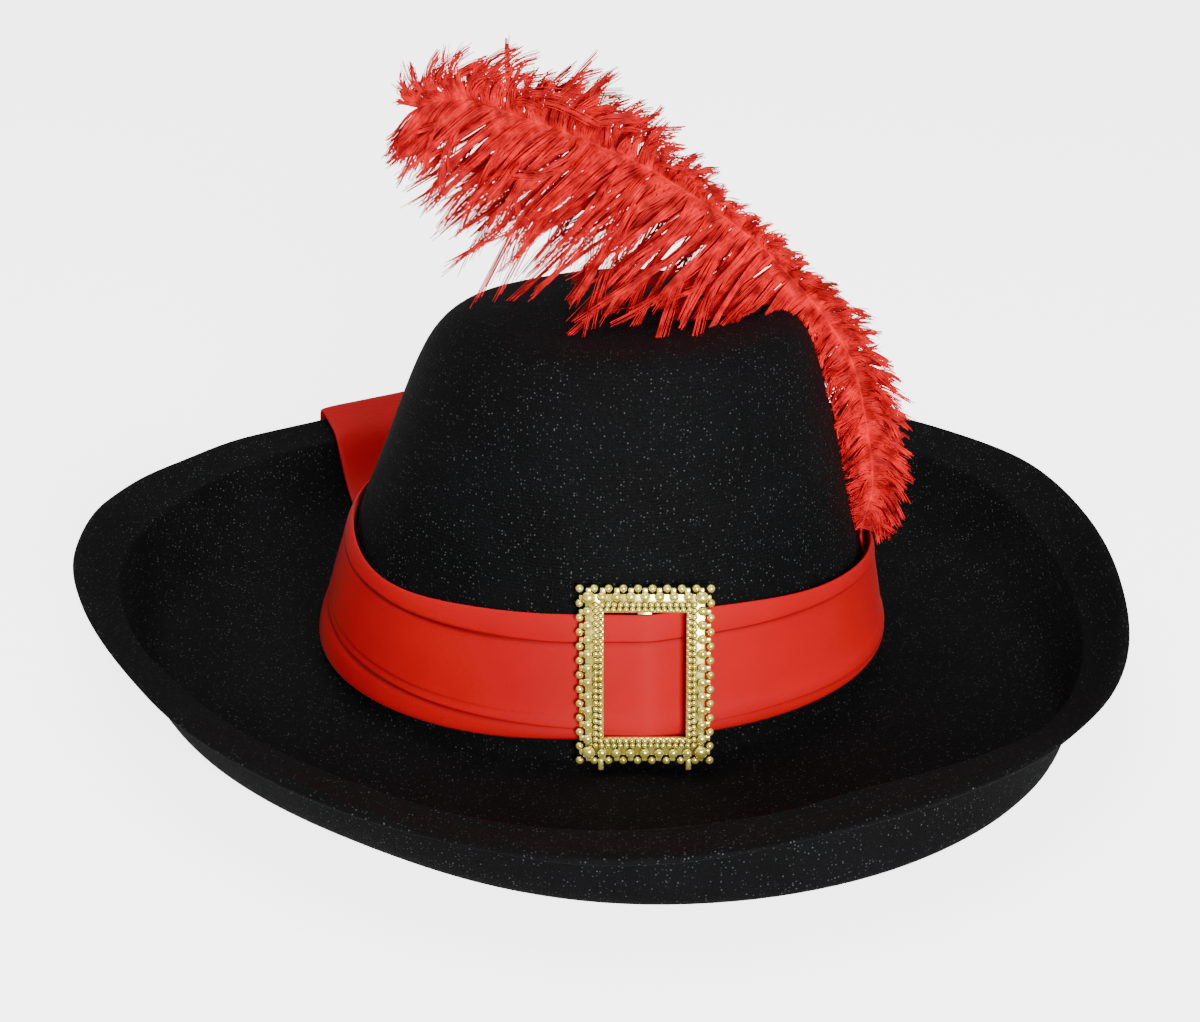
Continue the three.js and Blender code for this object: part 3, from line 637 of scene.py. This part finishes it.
def barbs(name, clumps, seed, side, fan_middle, fan_spread, replaces=()):
    """Fine tapering barbs in clumps; side is 1 towards the crown and -1 on the other side."""
    chance = random.Random(seed)
    curve = bpy.data.curves.new(name, "CURVE")
    curve.dimensions = "3D"
    curve.bevel_depth = 0.0002
    curve.bevel_resolution = 0
    strands, steps = 13, 7
    bare_share = 0.09
    # Shares of a barb's length: how far it sags, and how much it hooks and waves any way
    sag = 0.25 if side > 0 else 0.12
    hooked, waved = 0.13, 0.032
    # How far the strands of a clump are apart: a share of the quill at the root, metres further out
    root_apart, strand_apart = 0.006, 0.00055
    for k in range(clumps):
        share = bare_share + (1 - bare_share) * (k + chance.uniform(-1, 1)) / clumps
        middle, heading = along(share)
        inwards = Vector((-heading.z, 0, heading.x)) * side
        column = 1 if side > 0 else 3
        length = barb_value(share, column) * chance.uniform(0.6, 1.08)
        lean = barb_value(share, column + 1) + chance.gauss(0, 0.13)
        fan = fan_middle + chance.uniform(-1, 1) * fan_spread
        direction = (inwards + heading * lean + Vector((0, fan, 0))).normalized()
        droop = Vector((0, 0, -1)) * sag * chance.uniform(0.3, 1.6)
        hook = Vector([chance.gauss(0, 1) for axis in "xyz"]) * hooked
        wave = Vector([chance.gauss(0, 1) for axis in "xyz"]) * waved
        pace = chance.uniform(4, 9)
        if side < 0:
            hook -= heading * chance.uniform(0.2, 0.6)
        # The strands of a clump start apart on the quill and draw together on the way out
        for strand in range(strands):
            root = along(share + chance.uniform(-1, 1) * root_apart)[0]
            reach = length * chance.uniform(0.8, 1.0)
            stray = Vector([chance.gauss(0, 1) for axis in "xyz"]) * strand_apart
            spline = curve.splines.new("POLY")
            spline.points.add(steps)
            for i, point in enumerate(spline.points):
                t = i / steps
                foot = root.lerp(middle, 1 - (1 - t) ** 1.5)
                way = direction * t + droop * t ** 2 + hook * t ** 3 + wave * math.sin(pace * t)
                point.co = (*off_crown(foot + way * reach + stray * t ** 0.6), 1)
                point.radius = 1.2 - 0.55 * t
    placed(name, finished_mesh(in_scene(name, curve)), dyed, replaces)


barbs(
    "plume_long_barbs_front", clumps=215, seed=7, side=1, fan_middle=-0.6, fan_spread=0.45,
    replaces=["plume"],
)
barbs("plume_long_barbs_back", clumps=215, seed=8, side=1, fan_middle=0.15, fan_spread=0.4)
barbs("plume_short_barbs_front", clumps=215, seed=11, side=-1, fan_middle=-0.35, fan_spread=0.45)
barbs("plume_short_barbs_back", clumps=215, seed=12, side=-1, fan_middle=0.35, fan_spread=0.45)

# The quill itself, thinner towards the tip
quill = bpy.data.curves.new("quill", "CURVE")
quill.dimensions = "3D"
quill.bevel_depth = 0.0006
quill.bevel_resolution = 3
quill.use_fill_caps = True
spline = quill.splines.new("POLY")
quill_steps = 60
spline.points.add(quill_steps)
for i, point in enumerate(spline.points):
    point.co = (*along(i / quill_steps)[0], 1)
    point.radius = 1.1 - 0.8 * i / quill_steps
placed("plume_quill", finished_mesh(in_scene("quill", quill)), dyed)

# Studio: a pale floor under the hat and soft light from the front, low and a little to the
# right, with a wide soft light above.
floor_size, floor_below = 30, 0.0005
floor_mesh = bpy.data.meshes.new("floor")
bm = bmesh.new()
bmesh.ops.create_grid(bm, x_segments=1, y_segments=1, size=floor_size)
bm.to_mesh(floor_mesh)
bm.free()
paper = bpy.data.materials.new("pale_paper")
paper.use_nodes = True
paper_shader = paper.node_tree.nodes["Principled BSDF"]
paper_shader.inputs["Base Color"].default_value = (0.9, 0.9, 0.9, 1)
paper_shader.inputs["Roughness"].default_value = 0.9
# The paper shows white in the picture, as on a light table, and lights the hat only a little
paper_glow = 3.5
seen = paper.node_tree.nodes.new("ShaderNodeLightPath")
glow = paper.node_tree.nodes.new("ShaderNodeMath")
glow.operation = "MULTIPLY"
glow.inputs[1].default_value = paper_glow
paper.node_tree.links.new(seen.outputs["Is Camera Ray"], glow.inputs[0])
paper.node_tree.links.new(glow.outputs[0], paper_shader.inputs["Emission Strength"])
paper_shader.inputs["Emission Color"].default_value = (1, 1, 1, 1)
floor_mesh.materials.append(paper)
floor = in_scene("floor", floor_mesh)
floor.location.z = -floor_below


def soft_light(name, position, width, height, power):
    """A rectangular lamp that faces the foot of the crown."""
    lamp = bpy.data.lights.new(name, "AREA")
    lamp.shape = "RECTANGLE"
    lamp.size, lamp.size_y = width, height
    lamp.energy = power
    holder = in_scene(name, lamp)
    holder.location = position
    facing = Vector((0, 0, 0.06)) - Vector(position)
    holder.rotation_euler = facing.to_track_quat("-Z", "Y").to_euler()


soft_light("key", position=(0.35, -1.5, 0.55), width=0.5, height=0.5, power=55)
soft_light("above", position=(-0.3, 0.2, 1.8), width=1.6, height=1.6, power=28)
# The world too is white in the picture and lights the hat only a little
world_light, world_seen = 0.4, 4
world = bpy.data.worlds.new("studio")
world.use_nodes = True
backdrop = world.node_tree.nodes["Background"]
backdrop.inputs["Color"].default_value = (1, 1, 1, 1)
seen = world.node_tree.nodes.new("ShaderNodeLightPath")
white = world.node_tree.nodes.new("ShaderNodeMapRange")
white.inputs["To Min"].default_value = world_light
white.inputs["To Max"].default_value = world_seen
world.node_tree.links.new(seen.outputs["Is Camera Ray"], white.inputs["Value"])
world.node_tree.links.new(white.outputs["Result"], backdrop.inputs["Strength"])
bpy.context.scene.world = world
